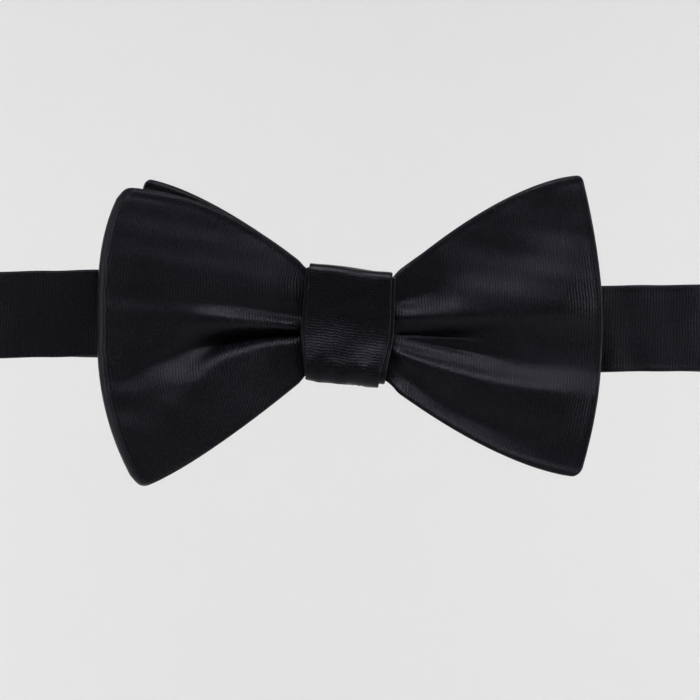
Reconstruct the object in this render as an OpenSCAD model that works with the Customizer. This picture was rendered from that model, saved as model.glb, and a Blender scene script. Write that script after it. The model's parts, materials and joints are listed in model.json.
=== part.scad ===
// Ready-tied silk bow tie on an adjustable neck band with a slide, a hook and an eye.
// The origin is the middle of the knot's flat back, which rests on the collar.
// +X runs along the bow, +Y points back to the neck and +Z is up.
// The band's loop stands open just short of the clasp: the hook is next to the eye, not in it.

/* [Bow strips] */
// Thickness of each silk panel
silk_t = 0.3; // [0.2:0.05:0.35]
// Thickness of the interlining between two panels
lining_core_t = 0.5; // [0.3:0.05:0.6]
// Half width of the gathered strips inside the knot
waist_half = 12.2; // [11:0.1:12.3]
// Distance from the centre to the fold of the front strip's loop
front_fold_reach = 59.8; // [57:0.1:61]
// Distance from the centre to the free end of the front strip
front_end_reach = 60.2; // [57:0.1:61]
// Distance from the centre to the fold of the rear strip's loop
rear_fold_reach = 58.4; // [55:0.1:59]
// Distance from the centre to the free end of the rear strip
rear_end_reach = 53; // [48:0.5:55]

/* [Knot] */
// Width of the knot wrap along the bow
knot_w = 22.2; // [18:0.2:24]
// Height of the knot wrap
knot_h = 27.4; // [27:0.1:30]
// Depth of the knot wrap from its flat back to its crown
knot_d = 15.6; // [15.4:0.1:18]
// Tilt of the knot, in degrees, right side down
knot_tilt = 6.5; // [0:0.5:8]

/* [Neck band] */
// Height of the band
band_h = 20.4; // [18:0.2:22]
// Thickness of the sewn band
band_t = 1; // [0.9:0.05:1.1]
// Half length of the straight front run
band_half = 80; // [75:1:95]
// Radius of the turn at each side, at the middle of the band
turn_r = 23.5; // [20:0.5:35]
// Tilt of the whole band, in degrees, right side down
band_tilt = 1.35; // [0:0.05:2]
// Height of the middle of the band above the origin
band_rise = 1.2; // [0:0.1:2]

/* [Clasp and slide] */
// Radius of the wire of the eye and of the bars
wire_r = 0.5; // [0.4:0.05:0.55]
// Place of the eye's sewn bar along the band
eye_x = -56; // [-58:0.5:-54]
// Place of the hook's bar along the band
hook_x = -34; // [-35:0.5:-32]
// Place of the slide's middle bar at the longest setting
slide_x = -13; // [-14:0.5:-8]
// Distance between the slide's middle bar and its outer bars
slide_pitch = 5.5; // [5:0.25:6.5]

/* [Hidden] */
$fn = 48;

silk_black = [0.09, 0.09, 0.11];
lining_black = [0.13, 0.13, 0.15];
canvas = [0.78, 0.75, 0.68];
thread_black = [0.05, 0.05, 0.06];
label_white = [0.85, 0.84, 0.8];
nickel = [0.72, 0.71, 0.69];

// ---- Bow strips ----

ply_gap = 0.05;
strip_half_t = lining_core_t / 2 + ply_gap + silk_t;
// Share of a strip's half height by which its interlining stops short of each hem
core_inset = 0.05;
// Half width of the part of each strip that runs straight through the knot
knot_half = 10.5;
// How far short of that half width a loop's back layer ends
back_stop = 2;
waist_shift = knot_half * tan(knot_tilt);
// Each wing edge: height where it leaves the knot, reach and height of its corner, exponent of its curve
front_loop_top = [waist_half + waist_shift, 54, 32.6, 1.9];
front_loop_bottom = [waist_shift - waist_half, 50, -37.2, 1.35];
front_end_top = [waist_half - waist_shift, 54.5, 35.6, 1.56];
front_end_bottom = [-waist_half - waist_shift, 54.5, -35.6, 1.58];
rear_loop_top = [waist_half - waist_shift, 54, 34.6, 1.5];
rear_loop_bottom = [-waist_half - waist_shift, 54, -34.6, 1.5];
rear_end_top = [waist_half + waist_shift, 48, 34.4, 1.45];
rear_end_bottom = [waist_shift - waist_half, 47, -35, 1.35];
// Left wing then right wing, each as its top and bottom edge
front_edges = [[front_loop_top, front_loop_bottom], [front_end_top, front_end_bottom]];
rear_edges = [[rear_end_top, rear_end_bottom], [rear_loop_top, rear_loop_bottom]];
// Share of its reach that a wing's end draws in at its top and bottom corners, left then right
draw_in = [[0.107, 0.165], [0.087, 0.09]];
stations = 9;
fold_steps = 8;
rows = 6;

function clamp01(t) = max(0, min(1, t));
function mix(a, b, t) = a + (b - a) * t;
function ease(t) = t * t * (3 - 2 * t);

// Height of a wing edge at distance x from the centre
function wing_edge_z(x, edge) =
    let (u = clamp01((abs(x) - knot_half) / (edge[1] - knot_half)))
    mix(edge[0], edge[2], 1 - pow(1 - u, edge[3]));

// Height of a strip's top (which = 0) or bottom (which = 1) edge, with a straight run through the knot
function strip_edge_z(x, edges, which) =
    abs(x) < knot_half
        ? mix(edges[0][which][0], edges[1][which][0], (x + knot_half) / (2 * knot_half))
        : wing_edge_z(x, edges[x < 0 ? 0 : 1][which]);

function end_draw(x, v) = draw_in[x < 0 ? 0 : 1][v > 0 ? 0 : 1] * v * v;

// Depth of a loop's layer at distance s from the centre, level through the knot.
// ys is [at the knot, at the fold].
function layer_y(s, fold_x, ys) =
    mix(ys[0], ys[1], ease(clamp01((s - knot_half) / (fold_x - knot_half))));

// Plan of one strip, from its free end through the knot, round its fold and back to the knot.
// side is the wing of the free end: 1 right, -1 left.
// through and back are each [y at the knot, y at the fold].
function strip_plan(side, end_reach, end_y, fold_reach, through, back) =
    let (fold_r = abs(through[1] - back[1]) / 2,
        fold_y = (through[1] + back[1]) / 2,
        fold_x = fold_reach - strip_half_t - fold_r)
    concat(
        [for (i = [0 : stations - 1]) let (t = i / stations)
            [side * mix(end_reach, knot_half, t), mix(end_y, through[0], ease(t))]],
        [for (i = [0 : stations]) let (s = mix(-knot_half, fold_x, i / stations))
            [-side * s, layer_y(s, fold_x, through)]],
        [for (i = [1 : fold_steps - 1]) let (a = 180 * i / fold_steps)
            [-side * (fold_x + fold_r * sin(a)), fold_y + (through[1] - fold_y) * cos(a)]],
        [for (i = [0 : stations]) let (s = mix(fold_x, back_stop - knot_half, i / stations))
            [-side * s, layer_y(s, fold_x, back)]]);

// Depths of the front strip, then of the rear strip: free end, through layer and back layer
front_ys = [-12.6, [-10.8, -15.6], [-8.6, -8.6]];
rear_ys = [-4.8, [-4.4, -4.4], [-6.5, -9.6]];
front_plan = strip_plan(1, front_end_reach, front_ys[0], front_fold_reach, front_ys[1], front_ys[2]);
rear_plan = strip_plan(-1, rear_end_reach, rear_ys[0], rear_fold_reach, rear_ys[1], rear_ys[2]);

function unit(p) = p / norm(p);
function plan_normal(plan, i) =
    let (d = unit(plan[min(i + 1, len(plan) - 1)] - plan[max(i - 1, 0)]))
    [-d[1], d[0]];

// Point of a strip at station i, row share v from -1 to 1 and offset h from its middle surface
function strip_point(plan, edges, i, v, h) =
    let (p = plan[i] + plan_normal(plan, i) * h,
        x = p[0] * (1 - end_draw(p[0], v)),
        top = strip_edge_z(p[0] * (1 - end_draw(p[0], 1)), edges, 0),
        bottom = strip_edge_z(p[0] * (1 - end_draw(p[0], -1)), edges, 1))
    [x, p[1], mix(bottom, top, (v + 1) / 2)];

// One ply of a strip, between offsets h0 and h1, drawn in from the strip's edges by the share inset
module strip_ply(plan, edges, h0, h1, inset = 0, skip = 0) {
    n = len(plan) - 2 * skip;
    m = rows + 1;
    side_points = n * m;
    points = [for (h = [h0, h1], i = [0 : n - 1], j = [0 : rows])
        strip_point(plan, edges, i + skip, (1 - inset) * (2 * j / rows - 1), h)];
    function at(layer, i, j) = layer * side_points + i * m + j;
    sheet_faces = [for (i = [0 : n - 2], j = [0 : rows - 1], k = [0, 1]) each [
        k == 0 ? [at(0, i, j), at(0, i + 1, j), at(0, i + 1, j + 1)]
            : [at(0, i, j), at(0, i + 1, j + 1), at(0, i, j + 1)],
        k == 0 ? [at(1, i, j), at(1, i + 1, j + 1), at(1, i + 1, j)]
            : [at(1, i, j), at(1, i, j + 1), at(1, i + 1, j + 1)]]];
    hem_faces = [for (i = [0 : n - 2]) each [
        [at(0, i, 0), at(1, i, 0), at(1, i + 1, 0)],
        [at(0, i, 0), at(1, i + 1, 0), at(0, i + 1, 0)],
        [at(0, i, rows), at(1, i + 1, rows), at(1, i, rows)],
        [at(0, i, rows), at(0, i + 1, rows), at(1, i + 1, rows)]]];
    end_faces = [for (j = [0 : rows - 1]) each [
        [at(0, 0, j), at(0, 0, j + 1), at(1, 0, j + 1)],
        [at(0, 0, j), at(1, 0, j + 1), at(1, 0, j)],
        [at(0, n - 1, j), at(1, n - 1, j + 1), at(0, n - 1, j + 1)],
        [at(0, n - 1, j), at(1, n - 1, j), at(1, n - 1, j + 1)]]];
    polyhedron(points, concat(sheet_faces, hem_faces, end_faces), convexity = 10);
}

face_h = [lining_core_t / 2 + ply_gap, strip_half_t];
core_h = [-lining_core_t / 2, lining_core_t / 2];
back_h = [-strip_half_t, -lining_core_t / 2 - ply_gap];

module front_bow_face() {
    color(silk_black) strip_ply(front_plan, front_edges, face_h[0], face_h[1]);
}

module front_bow_interlining() {
    color(canvas) strip_ply(front_plan, front_edges, core_h[0], core_h[1], inset = core_inset, skip = 1);
}

module front_bow_lining() {
    color(lining_black) strip_ply(front_plan, front_edges, back_h[0], back_h[1]);
}

module rear_bow_face() {
    color(silk_black) strip_ply(rear_plan, rear_edges, back_h[0], back_h[1]);
}

module rear_bow_interlining() {
    color(canvas) strip_ply(rear_plan, rear_edges, core_h[0], core_h[1], inset = core_inset, skip = 1);
}

module rear_bow_lining() {
    color(lining_black) strip_ply(rear_plan, rear_edges, face_h[0], face_h[1]);
}

// ---- Knot ----

wrap_t = 0.7;
crown_r = 50;
knot_corner = 4.5;
knot_core_t = 0.4;
knot_core_in = 0.8;
stitch_r = 0.25;
stitch_gap = 0.02;
tack_length = 2.2;
tack_front_y = -1.2;

// Section of the knot drawn in by inset, seen from its end: x is depth towards the front, y is height
module knot_section(inset) {
    depth = knot_d - 2 * inset;
    half = knot_h / 2 - inset;
    r = knot_corner - inset;
    translate([-inset, 0]) intersection() {
        union() {
            translate([-depth + r, -half]) square([depth - r, 2 * half]);
            translate([-depth, r - half]) square([depth, 2 * (half - r)]);
            for (s = [-1, 1]) translate([r - depth, s * (half - r)]) circle(r);
        }
        translate([crown_r - depth - inset, 0]) circle(crown_r - inset, $fn = 180);
    }
}

// Sleeve along X with the knot's section between two insets
module knot_sleeve(outer, inner, w) {
    rotate([0, knot_tilt, 0]) translate([-w / 2, 0, 0])
        rotate([90, 0, 90]) linear_extrude(w) difference() {
            knot_section(outer);
            knot_section(inner);
        }
}

module knot_wrap() {
    color(silk_black) knot_sleeve(0, wrap_t, knot_w);
}

module knot_interlining() {
    color(canvas) knot_sleeve(wrap_t + ply_gap, wrap_t + ply_gap + knot_core_t, knot_w - 2 * knot_core_in);
}

// Row of stitches under the knot that closes the wrap
module knot_tack() {
    color(thread_black) rotate([0, knot_tilt, 0])
        for (x = [-8 : 2 : 8]) translate([x, tack_front_y, -knot_h / 2 - stitch_r - stitch_gap])
            rotate([90, 0, 0]) cylinder(h = tack_length, r = stitch_r, $fn = 16);
}

// ---- Neck band ----

core_gap = 0.05;
hem = 0.5;
hinge_gap = 1;
// How far short of its sleeve's end the interlining stops beside a hinge
core_stop = 0.5;
// Room between the interlining and each hem
core_clear = 0.2;
band_y = -2.2;
back_y = band_y + 2 * turn_r;
band_core_t = band_t - 2 * silk_t - 2 * core_gap;
band_core_h = band_h - 2 * (hem + core_clear);

// Everything on the band is drawn level and tilted with it
module on_band() {
    translate([0, 0, band_rise]) rotate([0, band_tilt, 0]) children();
}

module strap(x0, x1, y, h, t) {
    translate([x0, y - t / 2, -h / 2]) cube([x1 - x0, t, h]);
}

// Quarter of the turn at one side: half is -1 for its front quarter and 1 for its back quarter
module turn(side, half, h, t, gap) {
    translate([side * band_half, band_y + turn_r, 0]) intersection() {
        difference() {
            cylinder(h = h, r = turn_r + t / 2, center = true, $fn = 120);
            cylinder(h = h + 2, r = turn_r - t / 2, center = true, $fn = 120);
        }
        translate([side > 0 ? 0 : -2 * turn_r, half > 0 ? gap : -2 * turn_r - gap, -h])
            cube([2 * turn_r, 2 * turn_r, 2 * h]);
    }
}

module front_route(h, t, gap) {
    strap(-band_half, band_half, band_y, h, t);
    turn(-1, -1, h, t, gap);
    turn(1, -1, h, t, gap);
}

module band_front() {
    color(silk_black) on_band() difference() {
        front_route(band_h, band_t, hinge_gap / 2);
        front_route(band_h - 2 * hem, band_t - 2 * silk_t, -1);
    }
}

module band_front_interlining() {
    color(canvas) on_band() front_route(band_core_h, band_core_t, hinge_gap / 2 + core_stop);
}

anchor_x = 13.5;
anchor_length = 1.8;

// Two short rows on the front of the band, one each side of the knot
module band_anchor_stitches() {
    color(thread_black) on_band()
        for (s = [-1, 1], z = [-6 : 3 : 6])
            translate([s * anchor_x, band_y - band_t / 2 - stitch_r - stitch_gap, z])
                rotate([0, 90, 0]) cylinder(h = anchor_length, r = stitch_r, center = true, $fn = 16);
}

label_x = [18, 44];
label_h = 12;
label_t = 0.25;
label_gap = 0.03;

module size_label() {
    color(label_white) on_band()
        strap(label_x[0], label_x[1], band_y + band_t / 2 + label_gap + label_t / 2, label_h, label_t);
}

module label_stitches() {
    color(thread_black) on_band()
        for (x = [label_x[0] + 1, label_x[1] - 1], z = [-4.5 : 1.5 : 4.5])
            translate([x, band_y + band_t / 2 + label_gap + label_t + stitch_gap + stitch_r, z])
                cylinder(h = 1, r = stitch_r, center = true, $fn = 16);
}

// ---- Left end and eye ----

bar_clear = 0.06;
fold_in_r = wire_r + bar_clear;
fold_out_r = fold_in_r + band_t;
// The eye's bar lies on the neck side of the band, the hook's bar on the outer side
eye_bar_y = back_y - band_t / 2 - fold_in_r;
hook_bar_y = back_y + band_t / 2 + fold_in_r;
eye_tail = 12;
eye_tail_stop = 4;
eye_tack_in = 3;
bartack_r = 0.4;
bartack_half = 7;
eye_tail_y = eye_bar_y - fold_in_r - band_t / 2;
bar_half = band_h / 2 + 0.9;

// Half ring of band round a bar at [x, y], open towards +X or -X
module fold(x, y, toward, h, out_r, in_r) {
    translate([x, y, 0]) intersection() {
        difference() {
            cylinder(h = h, r = out_r, center = true);
            cylinder(h = h + 2, r = in_r, center = true);
        }
        translate([toward > 0 ? 0 : -2 * out_r, -2 * out_r, -h]) cube([2 * out_r, 4 * out_r, 2 * h]);
    }
}

module band_left() {
    color(silk_black) on_band() {
        difference() {
            union() {
                turn(-1, 1, band_h, band_t, hinge_gap / 2);
                strap(-band_half, eye_x, back_y, band_h, band_t);
            }
            turn(-1, 1, band_h - 2 * hem, band_t - 2 * silk_t, -1);
            strap(-band_half, eye_x - eye_tail_stop, back_y, band_h - 2 * hem, band_t - 2 * silk_t);
        }
        fold(eye_x, eye_bar_y, 1, band_h, fold_out_r, fold_in_r);
        strap(eye_x - eye_tail, eye_x, eye_tail_y, band_h, band_t);
    }
}

module band_left_interlining() {
    color(canvas) on_band() {
        turn(-1, 1, band_core_h, band_core_t, hinge_gap / 2 + core_stop);
        strap(-band_half, eye_x - eye_tail_stop - core_stop, back_y, band_core_h, band_core_t);
    }
}

// Dense stitches across a strap: a rounded bar on the face of the tail
module bartack(x, y) {
    for (s = [-1, 1]) translate([x, y, s * bartack_half]) sphere(r = bartack_r, $fn = 24);
    translate([x, y, 0]) cylinder(h = 2 * bartack_half, r = bartack_r, center = true, $fn = 24);
}

module eye_bartack() {
    color(thread_black) on_band()
        bartack(eye_x - eye_tail + eye_tack_in, eye_tail_y - band_t / 2 - bartack_r - stitch_gap);
}

// Upright rectangle of round wire between x0 and x1
module wire_loop(x0, x1, y) {
    for (x = [x0, x1]) translate([x, y, 0]) cylinder(h = 2 * bar_half, r = wire_r, center = true);
    for (s = [-1, 1]) {
        translate([x0, y, s * bar_half]) rotate([0, 90, 0]) cylinder(h = x1 - x0, r = wire_r);
        for (x = [x0, x1]) translate([x, y, s * bar_half]) sphere(r = wire_r);
    }
}

eye_reach = 7.4;

module eye_clasp() {
    color(nickel) on_band() wire_loop(eye_x, eye_x + eye_reach, eye_bar_y);
}

// ---- Right turn, strap and hook ----

run_end = hook_x + 2;
run_gap = 0.1;
strap_core_stop = 0.3;

module band_right_turn() {
    color(silk_black) on_band() difference() {
        turn(1, 1, band_h, band_t, hinge_gap / 2);
        turn(1, 1, band_h - 2 * hem, band_t - 2 * silk_t, -1);
        strap(band_half - 1, band_half + 0.5, back_y, band_h - 2 * hem, band_t - 2 * silk_t);
    }
}

module band_right_interlining() {
    color(canvas) on_band() turn(1, 1, band_core_h, band_core_t, hinge_gap / 2 + core_stop);
}

module strap_sleeve(x0, x1, y) {
    difference() {
        strap(x0, x1, y, band_h, band_t);
        strap(x0 - 1, x1 + 1, y, band_h - 2 * hem, band_t - 2 * silk_t);
    }
}

module strap_core(x0, x1, y) {
    strap(x0 + strap_core_stop, x1 - strap_core_stop, y, band_core_h, band_core_t);
}

return_y = hook_bar_y + fold_in_r + band_t / 2;
slide_bar_y = return_y + band_t / 2 + fold_in_r;
tab_y = slide_bar_y + fold_in_r + band_t / 2;
return_end = slide_x - 3;
tab_tail = 9;
tab_tack_in = 2.5;

module strap_run() {
    color(silk_black) on_band() strap_sleeve(run_end + run_gap, band_half - run_gap, back_y);
}

module strap_run_interlining() {
    color(canvas) on_band() strap_core(run_end + run_gap, band_half - run_gap, back_y);
}

module strap_bight() {
    color(silk_black) on_band() {
        strap(hook_x, run_end, back_y, band_h, band_t);
        fold(hook_x, hook_bar_y, -1, band_h, fold_out_r, fold_in_r);
        strap(hook_x, run_end, return_y, band_h, band_t);
    }
}

module strap_return() {
    color(silk_black) on_band() strap_sleeve(run_end + run_gap, return_end - run_gap, return_y);
}

module strap_return_interlining() {
    color(canvas) on_band() strap_core(run_end + run_gap, return_end - run_gap, return_y);
}

plate_x = hook_x - 4.4;
plate_w = 2;
tongue_h = 11;
tongue_t = 0.8;
tongue_reach = 3.4;
tongue_return = 2.6;
bend_r = 1.25;

// Bent tongue in plan: straight out from the plate, round the bend and back
module tongue() {
    bend_x = plate_x - tongue_reach;
    bend_y = hook_bar_y - bend_r;
    translate([bend_x, hook_bar_y - tongue_t / 2]) square([plate_x - bend_x + 0.5, tongue_t]);
    translate([bend_x, bend_y]) intersection() {
        difference() {
            circle(bend_r + tongue_t / 2);
            circle(bend_r - tongue_t / 2);
        }
        translate([-2 * bend_r, -2 * bend_r]) square([2 * bend_r, 4 * bend_r]);
    }
    translate([bend_x, bend_y - bend_r - tongue_t / 2]) square([tongue_return, tongue_t]);
    translate([bend_x + tongue_return, bend_y - bend_r]) circle(tongue_t / 2);
}

module hook_clasp() {
    color(nickel) on_band() {
        translate([hook_x, hook_bar_y, 0]) cylinder(h = 2 * bar_half, r = wire_r, center = true);
        for (s = [-1, 1]) {
            translate([hook_x, hook_bar_y, s * bar_half]) sphere(r = wire_r);
            translate([plate_x + plate_w / 2, hook_bar_y, s * bar_half]) rotate([0, 90, 0])
                cylinder(h = hook_x - plate_x - plate_w / 2, r = wire_r);
        }
        translate([plate_x, hook_bar_y - tongue_t / 2, -bar_half - wire_r])
            cube([plate_w, tongue_t, 2 * (bar_half + wire_r)]);
        translate([0, 0, -tongue_h / 2]) linear_extrude(tongue_h) tongue();
    }
}

// ---- Slide ----

strap_clear = 0.3;
outer_bar_y = back_y - band_t / 2 - strap_clear - wire_r;
rail_boss_r = wire_r + 0.2;
rail_w = 2 * wire_r;
rail_t = 0.9;

// Flat side rail in plan: two struts from the outer bars up to the middle bar, with a boss round each bar
module slide_rail() {
    rise = slide_bar_y - outer_bar_y;
    for (s = [-1, 1]) translate([slide_x + s * slide_pitch, outer_bar_y]) {
        circle(rail_boss_r);
        rotate(atan2(rise, -s * slide_pitch))
            translate([0, -rail_w / 2]) square([norm([rise, slide_pitch]), rail_w]);
    }
    translate([slide_x, slide_bar_y]) circle(rail_boss_r);
}

module slide_adjuster() {
    color(nickel) on_band() {
        for (s = [-1, 1]) {
            translate([0, 0, s * bar_half - rail_t / 2]) linear_extrude(rail_t) slide_rail();
            translate([slide_x + s * slide_pitch, outer_bar_y, 0])
                cylinder(h = 2 * bar_half, r = wire_r, center = true);
        }
        translate([slide_x, slide_bar_y, 0]) cylinder(h = 2 * bar_half, r = wire_r, center = true);
    }
}

module slide_tab() {
    color(silk_black) on_band() {
        strap(return_end, slide_x, return_y, band_h, band_t);
        fold(slide_x, slide_bar_y, 1, band_h, fold_out_r, fold_in_r);
        strap(slide_x - tab_tail, slide_x, tab_y, band_h, band_t);
    }
}

module slide_bartack() {
    color(thread_black) on_band()
        bartack(slide_x - tab_tail + tab_tack_in, tab_y + band_t / 2 + bartack_r + stitch_gap);
}

front_bow_face();
front_bow_interlining();
front_bow_lining();
rear_bow_face();
rear_bow_interlining();
rear_bow_lining();
knot_wrap();
knot_interlining();
knot_tack();
band_front();
band_front_interlining();
band_anchor_stitches();
size_label();
label_stitches();
band_left();
band_left_interlining();
eye_bartack();
eye_clasp();
band_right_turn();
band_right_interlining();
strap_run();
strap_run_interlining();
strap_bight();
strap_return();
strap_return_interlining();
hook_clasp();
slide_adjuster();
slide_tab();
slide_bartack();
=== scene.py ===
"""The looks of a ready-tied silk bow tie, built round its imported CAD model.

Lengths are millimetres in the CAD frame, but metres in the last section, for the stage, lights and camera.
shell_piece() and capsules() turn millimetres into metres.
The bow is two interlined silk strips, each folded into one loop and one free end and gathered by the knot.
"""
import json
import math

import bmesh
import bpy
import numpy as np
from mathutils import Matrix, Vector


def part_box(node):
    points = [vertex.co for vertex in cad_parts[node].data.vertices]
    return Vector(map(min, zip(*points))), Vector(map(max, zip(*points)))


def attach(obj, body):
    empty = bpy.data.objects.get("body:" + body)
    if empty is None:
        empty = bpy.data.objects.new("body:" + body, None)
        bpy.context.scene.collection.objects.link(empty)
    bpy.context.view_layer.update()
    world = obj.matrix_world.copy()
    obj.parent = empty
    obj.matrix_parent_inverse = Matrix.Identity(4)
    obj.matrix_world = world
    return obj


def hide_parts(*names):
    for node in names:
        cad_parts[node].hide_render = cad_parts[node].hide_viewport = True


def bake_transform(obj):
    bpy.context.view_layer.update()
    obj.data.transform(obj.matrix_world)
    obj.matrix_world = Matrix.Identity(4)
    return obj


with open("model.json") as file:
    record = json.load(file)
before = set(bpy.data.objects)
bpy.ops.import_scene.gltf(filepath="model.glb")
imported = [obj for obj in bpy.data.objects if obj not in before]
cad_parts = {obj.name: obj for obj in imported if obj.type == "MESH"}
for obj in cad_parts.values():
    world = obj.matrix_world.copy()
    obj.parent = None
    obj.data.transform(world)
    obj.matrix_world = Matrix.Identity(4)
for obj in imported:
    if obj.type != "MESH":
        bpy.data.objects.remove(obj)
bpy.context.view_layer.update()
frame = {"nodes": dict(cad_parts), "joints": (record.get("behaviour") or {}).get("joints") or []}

MM = 0.001
JOINTS = {j["name"]: j for j in frame["joints"]}


# ---- Sizes read from the frame ----

def box_mm(node):
    low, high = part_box(node)
    return np.array(low) / MM, np.array(high) / MM


band_low, _ = box_mm("band_front")
BAND_T = 1.0
BAND_H = 20.7
BAND_Y = band_low[1] + BAND_T / 2
PIVOT_L = np.array(JOINTS["left_band_swing"]["pos_m"]) / MM
PIVOT_R = np.array(JOINTS["right_band_swing"]["pos_m"]) / MM
BAND_AXIS = np.array(JOINTS["left_band_swing"]["axis"])
BAND_RISE = (PIVOT_L[2] + PIVOT_R[2]) / 2
TURN_R = PIVOT_L[1] - BAND_Y
BACK_Y = BAND_Y + 2 * TURN_R
TURN_X = np.hypot(PIVOT_R[0], PIVOT_R[2] - BAND_RISE) - TURN_R


# ---- Small maths ----

def ease(t):
    t = np.clip(t, 0, 1)
    return t * t * (3 - 2 * t)


def mix(a, b, t):
    return a + (b - a) * t


def smooth_interp(x, xs, ys):
    """Values ys at places xs, joined by smooth steps."""
    x = np.asarray(x, float)
    out = np.full(x.shape, float(ys[0]))
    for a, b, ya, yb in zip(xs[:-1], xs[1:], ys[:-1], ys[1:]):
        out = np.where(x > a, mix(ya, yb, ease((x - a) / (b - a))), out)
    return out


def arc_length(points):
    steps = np.linalg.norm(np.diff(points, axis=0), axis=1)
    return np.concatenate([[0], np.cumsum(steps)])


def waves(x, z, seed, pitch, count=7):
    """Smooth seeded unevenness of about unit height, from a few slow waves."""
    rng = np.random.default_rng(seed)
    total = np.zeros(np.broadcast(x, z).shape)
    for _ in range(count):
        angle, phase = rng.uniform(0, 2 * math.pi, 2)
        k = 2 * math.pi / (pitch * rng.uniform(0.7, 1.6))
        total += np.sin(k * (x * math.cos(angle) + z * math.sin(angle)) + phase)
    return total / math.sqrt(count)


# ---- Shells ----

# Distances from a hem at which a shell has a row of points
HEM_STEPS = np.array([0, 0.05, 0.15, 0.32, 0.55, 0.85, 1.2, 1.6, 2.0, 2.6, 3.4])


def hem_round(d, half_t):
    """How full the thickness is at distance d from a hem, which is rounded over its own half thickness."""
    inside = np.clip(1 - d / half_t, 0, 1)
    return np.sqrt(1 - inside ** 2)


def hem_roll(d, depth):
    """The pressed seam beside a hem: a small swelling at the edge and a groove inside it."""
    return 1 + depth * (0.55 * np.exp(-(((d - 0.7) / 0.45) ** 2)) - np.exp(-(((d - 1.75) / 0.5) ** 2)))


def grid_faces(n, m, at):
    """The faces of an n by m grid, whose points have the indices at(i, j)."""
    cells = [(i, j) for i in range(n - 1) for j in range(m - 1)]
    return [(at(i, j), at(i + 1, j), at(i + 1, j + 1), at(i, j + 1)) for i, j in cells]


def shell_piece(name, mid, half_t, uv, material):
    """A closed shell about the grid of points mid, glued along its border, where half_t is 0."""
    n, m, _ = mid.shape
    along = np.gradient(mid, axis=0)
    across = np.gradient(mid, axis=1)
    normal = np.cross(along, across)
    normal /= np.linalg.norm(normal, axis=2, keepdims=True) + 1e-12
    front = mid + normal * half_t[..., None]
    back = mid - normal * half_t[..., None]
    border = np.zeros((n, m), bool)
    border[[0, -1], :] = True
    border[:, [0, -1]] = True
    back_index = np.full((n, m), -1)
    back_index[~border] = n * m + np.arange((~border).sum())
    back_index[border] = np.arange(n * m).reshape(n, m)[border]
    points = np.concatenate([front.reshape(-1, 3), back[~border]]) * MM
    uvs = np.concatenate([uv.reshape(-1, 2), uv[~border]])
    faces = grid_faces(n, m, lambda i, j: i * m + j)
    faces += [f[::-1] for f in grid_faces(n, m, lambda i, j: int(back_index[i, j]))]
    return mesh_piece(name, points, faces, uvs, material)


def mesh_piece(name, points, faces, uvs, material, sharp_deg=50):
    """A smooth-shaded object. points are metres. uvs are millimetres on the cloth, for the UV map weave."""
    mesh = bpy.data.meshes.new(name)
    mesh.from_pydata([tuple(p) for p in points], [], faces)
    bm = bmesh.new()
    bm.from_mesh(mesh)
    bmesh.ops.recalc_face_normals(bm, faces=bm.faces)
    bm.to_mesh(mesh)
    bm.free()
    layer = mesh.uv_layers.new(name="weave")
    corner = np.zeros(len(mesh.loops), int)
    mesh.loops.foreach_get("vertex_index", corner)
    layer.data.foreach_set("uv", (np.asarray(uvs)[corner] * MM).astype(np.float32).ravel())
    mesh.polygons.foreach_set("use_smooth", [True] * len(mesh.polygons))
    mesh.set_sharp_from_angle(angle=math.radians(sharp_deg))
    obj = bpy.data.objects.new(name, mesh)
    bpy.context.scene.collection.objects.link(obj)
    obj.data.materials.append(material)
    return obj


# ---- Materials ----

def new_material(name):
    material = bpy.data.materials.new(name)
    material.use_nodes = True
    tree = material.node_tree
    return material, tree, tree.nodes["Principled BSDF"]


def maths(tree, operation, a, b=None, c=None):
    """A Math node on numbers or sockets."""
    node = tree.nodes.new("ShaderNodeMath")
    node.operation = operation
    for socket, value in zip(node.inputs, (a, b, c)):
        if isinstance(value, (int, float)):
            socket.default_value = value
        elif value is not None:
            tree.links.new(value, socket)
    return node.outputs[0]


def cycle(tree, turn):
    """A wave between 0 and 1 as turn grows, in radians."""
    return maths(tree, "MULTIPLY_ADD", maths(tree, "SINE", turn), 0.5, 0.5)


def weave_uv(tree):
    """The place on the cloth in metres, and its parts along and across the strip."""
    node = tree.nodes.new("ShaderNodeUVMap")
    node.uv_map = "weave"
    parts = tree.nodes.new("ShaderNodeSeparateXYZ")
    tree.links.new(node.outputs["UV"], parts.inputs[0])
    return node.outputs["UV"], parts.outputs["X"], parts.outputs["Y"]


def noise(tree, vector, scale, detail=3.0, rough=0.55):
    node = tree.nodes.new("ShaderNodeTexNoise")
    node.inputs["Scale"].default_value = scale
    node.inputs["Detail"].default_value = detail
    node.inputs["Roughness"].default_value = rough
    tree.links.new(vector, node.inputs["Vector"])
    return node.outputs["Fac"]


def stretched(tree, vector, sx, sy, sz=1.0):
    node = tree.nodes.new("ShaderNodeMapping")
    node.inputs["Scale"].default_value = (sx, sy, sz)
    tree.links.new(vector, node.inputs["Vector"])
    return node.outputs["Vector"]


def ramp(tree, fac, low, high):
    """Two colours mixed by fac."""
    node = tree.nodes.new("ShaderNodeMix")
    node.data_type = "RGBA"
    node.inputs["A"].default_value = (*low, 1)
    node.inputs["B"].default_value = (*high, 1)
    tree.links.new(fac, node.inputs["Factor"])
    return node.outputs["Result"]


def bump(tree, height, distance, normal=None):
    node = tree.nodes.new("ShaderNodeBump")
    node.inputs["Distance"].default_value = distance
    tree.links.new(height, node.inputs["Height"])
    if normal is not None:
        tree.links.new(normal, node.inputs["Normal"])
    return node.outputs["Normal"]


RIB_PITCH = 0.7
WARP_PITCH = 0.22
GRAIN_DEPTH = 0.08
SILK_ROUGH = (0.22, 0.42)
SILK_BLACK = (0.0001, 0.0001, 0.0002)
SILK_SHEEN_TINT = (0.85, 0.81, 1.0, 1)


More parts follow.
